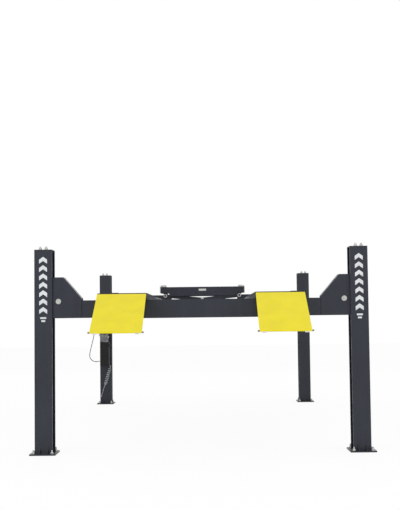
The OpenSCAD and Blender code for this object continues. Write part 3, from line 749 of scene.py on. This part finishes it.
class LIFT_OT_welds(bpy.types.Operator):
    """Lays the weld beads at the columns' feet and on the end housings"""

    bl_idname = "lift.welds"
    bl_label = "Welds"

    def execute(self, context):
        sizes = context.scene.lift_hardware
        radius = sizes.weld_radius
        for corner, (sx, sy) in CORNERS.items():
            cap_low, cap_high = [Vector(v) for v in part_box("column_caps")]
            outer, inner = cap_high.x, abs(middle("sheave_" + corner).x) + 0.0685
            half = cap_high.y - 3.6
            foot = sizes.plate_thickness
            bm = bmesh.new()
            for y in (3.6 - half, 3.6 + half):
                add_bead(bm, (inner + 0.004, y, foot), (outer - 0.004, y, foot), radius)
            add_bead(bm, (outer, 3.6 - half + 0.004, foot), (outer, 3.6 + half - 0.004, foot), radius)
            for y in (3.6 - half, 3.6 + half):
                add_bead(bm, (inner + 0.006, y, cap_low.z), (outer - 0.006, y, cap_low.z), radius * 0.5)
            bm.transform(mirrored(sx, sy))
            make_piece("column_welds_" + corner, bm, "root", "frame_paint")
            low, high = [Vector(v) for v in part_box("end_housing_" + corner)]
            beam_low, beam_high = [Vector(v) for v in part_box("crossbeam_rear")]
            edge = min(abs(low.x), abs(high.x))
            bm = bmesh.new()
            for y in (3.6 - 0.075, 3.6 + 0.075):
                add_bead(bm, (edge, y, beam_low.z + 0.006), (edge, y, beam_high.z), radius)
            bm.transform(mirrored(sx, sy))
            make_piece("housing_welds_" + corner, bm, "platform", "frame_paint")
        return {"FINISHED"}


# ---- marks on the columns ----

class LIFT_OT_marks(bpy.types.Operator):
    """Puts a stack of pale chevrons on the columns' end faces"""

    bl_idname = "lift.marks"
    bl_label = "Column chevrons"

    def execute(self, context):
        sizes = context.scene.lift_marks
        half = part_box("column_caps")[1][1]
        width, rise, band = 0.045, 0.032, 0.046
        outline = [(-width, 0), (0, rise), (width, 0), (width, -band), (0, rise - band), (-width, -band)]
        for corner, (sx, sy) in CORNERS.items():
            shaft = (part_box("column_caps")[1][0] + abs(middle("sheave_" + corner).x) + 0.0685) / 2
            bm = bmesh.new()
            turned = math.pi if sy > 0 else 0
            facing = Matrix.Rotation(turned, 4, "Z") @ Matrix.Rotation(math.pi / 2, 4, "X")
            for k in range(sizes.count):
                height = sizes.top - rise - sizes.step * k
                place = Matrix.Translation((sx * shaft, sy * half, height)) @ facing
                add_outline(bm, outline, 0.0006, place)
            for k, wide in enumerate((0.034, 0.022)):
                low = sizes.top - sizes.step * sizes.count - 0.03 - 0.034 * k
                place = Matrix.Translation((sx * shaft, sy * half, low)) @ facing
                add_outline(bm, [(-wide, -0.01), (wide, -0.01), (wide, 0.01), (-wide, 0.01)], 0.0006, place)
            make_piece("chevrons_" + corner, bm, "root", "frame_paint", finish_of("mark"))
        return {"FINISHED"}


# ---- runways and ramps ----

class LIFT_OT_runways(bpy.types.Operator):
    """Adds the decks' grip coat, their cross channels and the stops' bolts"""

    bl_idname = "lift.runways"
    bl_label = "Runway details"

    def execute(self, context):
        bolt = context.scene.lift_hardware.bolt_size
        for side, sx in SIDES.items():
            low, high = [Vector(v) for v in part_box("runway_" + side)]
            deck = MOUNTS["deck_" + side]["pos_m"][2]
            inner = 0.604
            wall = 0.008
            outer = max(abs(low.x), abs(high.x))
            coat = bmesh.new()
            panels = 6
            start, end = low.y + 0.06, high.y - 0.03
            for k in range(panels):
                step = (end - start) / panels
                add_box(coat, (inner + 0.03, start + step * k + 0.02, deck - 0.0005),
                        (outer - 0.03, start + step * (k + 1) - 0.02, deck + 0.0012), 0.0005)
            coat.transform(mirrored(sx, 1))
            make_piece("deck_grip_" + side, coat, "platform", "frame_paint", finish_of("grip"))
            ribs = bmesh.new()
            near, far = inner + wall, outer - wall
            for k in range(11):
                y = -3.3 + 0.66 * k
                add_box(ribs, (near, y - 0.025, deck - 0.07), (far, y - 0.019, deck - wall), 0.001)
                add_box(ribs, (near, y + 0.019, deck - 0.07), (far, y + 0.025, deck - wall), 0.001)
                add_box(ribs, (near, y - 0.025, deck - 0.072), (far, y + 0.025, deck - 0.066), 0.001)
            ribs.transform(mirrored(sx, 1))
            make_piece("deck_channels_" + side, ribs, "platform", "frame_paint")
            bolts = bmesh.new()
            for x in (inner + 0.045, (inner + outer) / 2, outer - 0.045):
                add_bolt(bolts, (x, high.y + 0.01, deck - 0.035), Y, bolt * 1.2)
            for x in (inner + 0.04, outer - 0.04):
                for z in (deck - 0.03, deck - 0.075):
                    add_bolt(bolts, (x, low.y + 0.002, z), -Y, bolt * 0.8)
            bolts.transform(mirrored(sx, 1))
            make_piece("runway_bolts_" + side, bolts, "platform", "zinc")
        return {"FINISHED"}


class LIFT_OT_ramps(bpy.types.Operator):
    """Adds the ramps' toe bar ends, toe pads, edge welds and the hinge pins' ends"""

    bl_idname = "lift.ramps"
    bl_label = "Ramp details"

    def execute(self, context):
        tilt = math.radians(27.2)
        toe_bar_out = 0.0183
        for side, sx in SIDES.items():
            hinge = pivot("ramp_" + side + "_hinge")
            place = Matrix.Translation(hinge) @ Matrix.Rotation(tilt, 4, "X")
            low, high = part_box("ramp_" + side)
            half = (high[0] - low[0]) / 2 - 0.018
            toe = -0.9
            bars = bmesh.new()
            for x in (-half, half):
                out = toe_bar_out if x > 0 else -toe_bar_out
                add_round(bars, (x - out * 0.1, toe, 0.023), (x + out, toe, 0.023), 0.0094, 28, 0.0012)
            bars.transform(place)
            make_piece("toe_bar_ends_" + side, bars, "ramp_" + side, "bare_steel")
            pads = bmesh.new()
            for x in (-half + 0.052, half - 0.052):
                add_box(pads, (x - 0.024, toe - 0.0125, 0.006), (x + 0.024, toe + 0.04, 0.0215), 0.004)
            pads.transform(place)
            make_piece("toe_pads_" + side, pads, "ramp_" + side, "slide_plastic", finish_of("skid"))
            beads = bmesh.new()
            for x in (-half + 0.012, half - 0.012):
                add_bead(beads, (x, toe + 0.02, 0.021), (x, -0.06, 0.021), 0.003)
            beads.transform(place)
            make_piece("ramp_welds_" + side, beads, "ramp_" + side, "ramp_yellow")
            ends = bmesh.new()
            for x in (sx * 0.612, sx * 1.148):
                out = X if abs(x) > 0.9 else -X
                out = out * sx
                add_ring(ends, (x - out.x * 0.010, hinge.y, hinge.z), out, 0.0128, 0.021, 0.0045)
                add_round(ends, (x - out.x * 0.003, hinge.y, hinge.z - 0.024),
                          (x - out.x * 0.003, hinge.y, hinge.z + 0.024), 0.0024, 16, 0.0006)
            make_piece("ramp_pin_ends_" + side, ends, "platform", "zinc")
        return {"FINISHED"}


# ---- pins, housings and columns ----

class LIFT_OT_housings(bpy.types.Operator):
    """Adds bolts and grease nipples on the sheave pins, the sheaves' bushes and the latch pins' cotters"""

    bl_idname = "lift.housings"
    bl_label = "Housing details"

    def execute(self, context):
        bolt = context.scene.lift_hardware.bolt_size
        for corner, (sx, sy) in CORNERS.items():
            hub = pivot("sheave_" + corner + "_spin")
            hub = Vector((abs(hub.x), abs(hub.y), hub.z))
            face = 0.085
            bm = bmesh.new()
            for side in (-1, 1):
                out = Y * side
                disc = hub + out * (face + 0.008)
                add_round(bm, disc, disc + out * 0.006, 0.0042, 20, 0.0008)
                add_round(bm, disc + out * 0.006, disc + out * 0.011, 0.0028, 20, 0.0010)
                for k in range(3):
                    a = math.radians(120 * k + 90)
                    around = Vector((math.cos(a), 0, math.sin(a)))
                    add_bolt(bm, disc + 0.0185 * around, out, bolt * 0.4, False)
            bm.transform(mirrored(sx, sy))
            make_piece("keepers_" + corner, bm, "platform", "zinc")
            bush = bmesh.new()
            for side in (-1, 1):
                add_ring(bush, hub + Y * (side * 0.0152), Y * side, 0.0232, 0.034, 0.004)
            bush.transform(mirrored(sx, sy))
            make_piece("sheave_bush_" + corner, bush, "sheave_" + corner, "bare_steel")
            wear = bmesh.new()
            pin = pivot("latch_" + corner + "_swing")
            pin = Vector((abs(pin.x), abs(pin.y), pin.z))
            half_cotter = Z * 0.012
            for side in (-1, 1):
                end = pin + Y * (side * 0.0905)
                add_round(wear, end - half_cotter, end + half_cotter, 0.0016, 12, 0.0004)
            wear.transform(mirrored(sx, sy))
            make_piece("latch_keepers_" + corner, wear, "platform", "zinc")
        return {"FINISHED"}


# ---- power unit ----

class LIFT_OT_power_unit(bpy.types.Operator):
    """Adds the motor's fan cover and terminal box, the tank's filler, seams and bolts, and the box's lid"""

    bl_idname = "lift.power_unit"
    bl_label = "Power unit details"

    def execute(self, context):
        bolt = context.scene.lift_hardware.bolt_size
        low, high = [Vector(v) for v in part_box("motor")]
        hub = (low + high) / 2
        radius = (high.x - low.x) / 2
        bm = bmesh.new()
        for k in range(6):
            add_ring(bm, (hub.x, hub.y, high.z - 0.0008), Z, 0.012 + 0.0105 * k, 0.0175 + 0.0105 * k, 0.0022)
        for k in range(8):
            a = math.radians(45 * k + 22.5)
            around = Vector((math.cos(a), math.sin(a), 0))
            crown = Vector((hub.x, hub.y, high.z))
            add_round(bm, crown + 0.066 * around - Z * 0.001, crown + 0.006 * around + Z * 0.0005, 0.0014, 10)
        for z in (low.z + 0.03, high.z - 0.045):
            add_ring(bm, (hub.x, hub.y, z), Z, radius - 0.0095, radius - 0.0035, 0.006, 64)
        box = Vector((hub.x + 0.02, low.y + 0.006, low.z + 0.075))
        add_box(bm, box + Vector((-0.045, -0.034, 0)), box + Vector((0.045, 0.012, 0.075)), 0.005)
        make_piece("motor_cover", bm, "root", "tank_black")
        heads = bmesh.new()
        for x in (-0.036, 0.036):
            for z in (0.009, 0.066):
                seat = box + Vector((x, -0.034, z))
                add_round(heads, seat, seat - Y * 0.003, 0.0034, 20, 0.0008)
        for k in range(4):
            a = math.radians(90 * k + 45)
            seat = Vector((hub.x + 0.071 * math.cos(a), hub.y + 0.071 * math.sin(a), low.z + 0.014))
            add_bolt(heads, seat, Z, bolt * 0.7, False)
        tank_low, tank_high = [Vector(v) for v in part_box("fluid_reservoir")]
        centre = (tank_low + tank_high) / 2
        for sx in (-1, 1):
            for sy in (-1, 1):
                seat = Vector((centre.x + sx * 0.068, centre.y + sy * 0.068, tank_high.z))
                add_bolt(heads, seat, Z, bolt * 0.6, False)
        for x in (-0.05, 0.05):
            seat = (centre.x + x, middle("power_unit_bracket").y - 0.016, 1.275)
            add_bolt(heads, seat, -Y, bolt, True)
        make_piece("unit_bolts", heads, "root", "zinc")
        tank = bmesh.new()
        proud, sunk, corner = 0.0015, 0.002, 0.0135
        for z in (tank_low.z + 0.018, tank_low.z + 0.2, tank_high.z - 0.03):
            left, right = tank_low.x, tank_high.x
            front, rear = tank_low.y, tank_high.y
            for low_x, high_x in ((left - proud, left + sunk), (right - sunk, right + proud)):
                add_box(tank, (low_x, front + corner, z), (high_x, rear - corner, z + 0.006), 0.001)
            add_box(tank, (left + corner, front - proud, z), (right - corner, front + sunk, z + 0.006), 0.001)
        filler = Vector((tank_high.x - 0.001, centre.y - 0.03, tank_high.z - 0.06))
        add_round(tank, filler, filler + X * 0.018, 0.019, 36, 0.003)
        for k in range(12):
            a = 2 * math.pi * k / 12
            rim = filler + Vector((0.003, 0.0185 * math.cos(a), 0.0185 * math.sin(a)))
            add_round(tank, rim, rim + X * 0.013, 0.0022, 10, 0.0006)
        make_piece("tank_details", tank, "root", "tank_black")
        lid = bmesh.new()
        box_low, box_high = [Vector(v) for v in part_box("control_box")]
        add_box(lid, (box_low.x + 0.003, box_low.y - 0.0028, box_low.z + 0.003),
                (box_high.x - 0.003, box_low.y + 0.0005, box_high.z - 0.046), 0.0012)
        make_piece("box_lid", lid, "root", "box_grey")
        trim = bmesh.new()
        for button in ("up_button", "lock_release_button"):
            add_ring(trim, (middle(button).x, box_low.y, middle(button).z), -Y, 0.0113, 0.0155, 0.003)
        for x in (box_low.x + 0.008, box_high.x - 0.008):
            for z in (box_low.z + 0.009, box_high.z - 0.053):
                add_round(trim, (x, box_low.y - 0.0025, z), (x, box_low.y - 0.005, z), 0.003, 20, 0.0007)
        make_piece("box_trim", trim, "root", "zinc")
        gland = bmesh.new()
        seat = Vector((box_low.x + 0.02, (box_low.y + box_high.y) / 2, box_low.z))
        add_round(gland, seat, seat - Z * 0.012, 0.0105, 6, 0.001)
        add_round(gland, seat - Z * 0.012, seat - Z * 0.024, 0.0085, 28, 0.002)
        make_piece("box_gland", gland, "root", "box_grey")
        return {"FINISHED"}


# ---- rolling jack ----

class LIFT_OT_jack(bpy.types.Operator):
    """Adds the rolling jack's blank plate, welds, pad and pin rings, wheel caps and bolts"""

    bl_idname = "lift.jack"
    bl_label = "Rolling jack details"

    def execute(self, context):
        bolt = context.scene.lift_hardware.bolt_size
        low, high = [Vector(v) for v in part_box("jack_table")]
        face = low.y
        middle_z = high.z - 0.04
        plate = bmesh.new()
        add_box(plate, (-0.05, face - 0.0015, middle_z - 0.014),
                (0.05, face + 0.0005, middle_z + 0.014), 0.0006)
        make_piece("blank_plate", plate, "jack_table", "zinc")
        bolts = bmesh.new()
        for x in (-0.52, -0.27, 0.27, 0.52):
            for z in (middle_z - 0.022, middle_z + 0.022):
                add_bolt(bolts, (x, face, z), -Y, bolt * 0.8)
        make_piece("table_bolts", bolts, "jack_table", "frame_paint")
        beads = bmesh.new()
        for y in (face + 0.008, high.y - 0.008):
            add_bead(beads, (low.x + 0.01, y, high.z - 0.072), (high.x - 0.01, y, high.z - 0.072), 0.0028)
        make_piece("table_welds", beads, "jack_table", "frame_paint")
        for side, sx in SIDES.items():
            end_high = Vector(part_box("jack_extension_" + side)[1])
            centre = middle("jack_extension_" + side)
            pad = bmesh.new()
            seat = Vector((sx * 0.526, centre.y, end_high.z))
            for k in range(3):
                add_ring(pad, seat - Z * 0.0008, Z, 0.006 + 0.0105 * k, 0.0115 + 0.0105 * k, 0.0024)
            make_piece("pad_rings_" + side, pad, "jack_extension_" + side, "zinc")
        pins = bmesh.new()
        hinge = pivot("jack_lift")
        cross = pivot("scissor_cross")
        for y in (-0.184, 0.184):
            out = Y if y > 0 else -Y
            add_ring(pins, hinge + Y * y, out, 0.003, 0.0165, 0.003)
        make_piece("lower_pin_rings", pins, "scissor_outer", "zinc")
        hubs = bmesh.new()
        for y in (-0.16, 0.16):
            out = Y if y > 0 else -Y
            add_ring(hubs, cross + Y * y, out, 0.004, 0.02, 0.005)
            add_ring(hubs, Vector((0.495, hinge.y, 1.822)) + Y * y, out, 0.014, 0.0235, 0.008)
            add_ring(hubs, Vector((-0.5, hinge.y, 1.722)) + Y * y, out, 0.0125, 0.02, 0.004)
        make_piece("outer_arm_rings", hubs, "scissor_outer", "zinc")
        upper = bmesh.new()
        level = pivot("table_level")
        for y in (-0.133, 0.133):
            add_ring(upper, level + Y * y, Y if y > 0 else -Y, 0.014, 0.0235, 0.008)
        make_piece("inner_arm_rings", upper, "scissor_inner", "zinc")
        rails = bmesh.new()
        c_low, c_high = [Vector(v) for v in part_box("jack_carriage")]
        for sx in (-1, 1):
            for y in (c_low.y + 0.02, c_high.y - 0.02):
                add_bolt(rails, (sx * c_high.x, y, c_high.z - 0.03), X * sx, bolt * 0.7)
        make_piece("carriage_bolts", rails, "jack_carriage", "zinc")
        for row in ("front", "rear"):
            hub = pivot("jack_wheels_" + row + "_roll")
            w_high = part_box("jack_wheels_" + row)[1]
            caps = bmesh.new()
            for sx in (-1, 1):
                seat = Vector((sx * w_high[0], hub.y, hub.z))
                add_ring(caps, seat - X * (sx * 0.0005), X * sx, 0.006, 0.03, 0.0018)
                add_round(caps, seat, seat + X * (sx * 0.005), 0.009, 6, 0.001)
            make_piece("wheel_caps_" + row, caps, "jack_wheels_" + row, "zinc")
        return {"FINISHED"}


# ---- stage ----

def add_light(name, place, aim, size, power):
    """A large soft lamp."""
    lamp = bpy.data.lights.new(name, "AREA")
    lamp.shape = "RECTANGLE"
    lamp.size, lamp.size_y = size
    lamp.energy = power
    holder = bpy.data.objects.new(name, lamp)
    holder.location = place
    holder.rotation_euler = (Vector(aim) - Vector(place)).to_track_quat("-Z", "Y").to_euler()
    bpy.context.scene.collection.objects.link(holder)


class LIFT_OT_stage(bpy.types.Operator):
    """Makes the floor, the lights and the camera"""

    bl_idname = "lift.stage"
    bl_label = "Stage"

    def execute(self, context):
        scene = context.scene
        sizes = scene.lift_stage
        half = sizes.floor_size / 2
        low = -0.001
        mesh = bpy.data.meshes.new("floor")
        corners = [(-half, -half, low), (half, -half, low), (half, half, low), (-half, half, low)]
        mesh.from_pydata(corners, [], [(0, 1, 2, 3)])
        mesh.materials.append(finish_of("floor"))
        floor = bpy.data.objects.new("floor", mesh)
        scene.collection.objects.link(floor)
        world = bpy.data.worlds.new("even_light")
        world.use_nodes = True
        back = world.node_tree.nodes["Background"]
        back.inputs["Color"].default_value = (1, 1, 1, 1)
        back.inputs["Strength"].default_value = sizes.sky
        seen = world.node_tree.nodes.new("ShaderNodeLightPath")
        lift = world.node_tree.nodes.new("ShaderNodeMath")
        lift.operation = "MULTIPLY_ADD"
        lift.inputs[1].default_value = 1.0 - sizes.sky
        lift.inputs[2].default_value = sizes.sky
        world.node_tree.links.new(seen.outputs["Is Camera Ray"], lift.inputs[0])
        world.node_tree.links.new(lift.outputs["Value"], back.inputs["Strength"])
        scene.world = world
        scene.view_settings.view_transform = "Standard"
        add_light("key", (-7.5, -13, 8.5), (0, -2, 1.2), (7, 5), sizes.key_power)
        add_light("fill", (9, -11, 6), (0, -2, 1.2), (7, 5), sizes.fill_power)
        add_light("back", (0, 14, 9), (0, 0, 1.5), (12, 5), sizes.fill_power)
        camera = bpy.data.cameras.new("camera")
        camera.lens = 75.2
        camera.sensor_width = 36
        camera.clip_end = 200
        yaw, pitch, roll = -0.0086, 0.060, -0.0117
        forward = Vector((math.sin(yaw) * math.cos(pitch), math.cos(yaw) * math.cos(pitch), math.sin(pitch)))
        right = forward.cross(Z).normalized()
        up = right.cross(forward)
        turned_right = math.cos(roll) * right + math.sin(roll) * up
        turned_up = -math.sin(roll) * right + math.cos(roll) * up
        holder = bpy.data.objects.new("camera", camera)
        turn = Matrix((turned_right, turned_up, -forward)).transposed()
        holder.matrix_world = Matrix.Translation((0.0968, -15.7868, 1.5059)) @ turn.to_4x4()
        scene.collection.objects.link(holder)
        scene.camera = holder
        return {"FINISHED"}


# ---- panel and registration ----

OPERATORS = (LIFT_OT_finishes, LIFT_OT_stage, LIFT_OT_hoses, LIFT_OT_cables, LIFT_OT_anchors, LIFT_OT_welds,
             LIFT_OT_marks, LIFT_OT_runways, LIFT_OT_ramps, LIFT_OT_housings, LIFT_OT_power_unit,
             LIFT_OT_jack)
SETTINGS = {"lift_look": LiftLook, "lift_hoses": LiftHoses, "lift_cables": LiftCables,
            "lift_hardware": LiftHardware, "lift_marks": LiftMarks, "lift_stage": LiftStage}


class LIFT_PT_panel(bpy.types.Panel):
    """Lists the lift's pieces and settings"""

    bl_idname = "LIFT_PT_panel"
    bl_label = "Truck lift"
    bl_space_type = "VIEW_3D"
    bl_region_type = "UI"
    bl_category = "Truck lift"

    def draw(self, context):
        column = self.layout.column()
        for name, settings in SETTINGS.items():
            for label in settings.__annotations__:
                column.prop(getattr(context.scene, name), label)
        for operator in OPERATORS:
            column.operator(operator.bl_idname)


def register():
    for kind in (*SETTINGS.values(), *OPERATORS, LIFT_PT_panel):
        bpy.utils.register_class(kind)
    for name, settings in SETTINGS.items():
        setattr(bpy.types.Scene, name, PointerProperty(type=settings))


def unregister():
    for name in SETTINGS:
        delattr(bpy.types.Scene, name)
    for kind in reversed((*SETTINGS.values(), *OPERATORS, LIFT_PT_panel)):
        bpy.utils.unregister_class(kind)


def main():
    register()
    for operator in OPERATORS:
        group, name = operator.bl_idname.split(".")
        getattr(getattr(bpy.ops, group), name)()


if __name__ == "__main__":
    main()
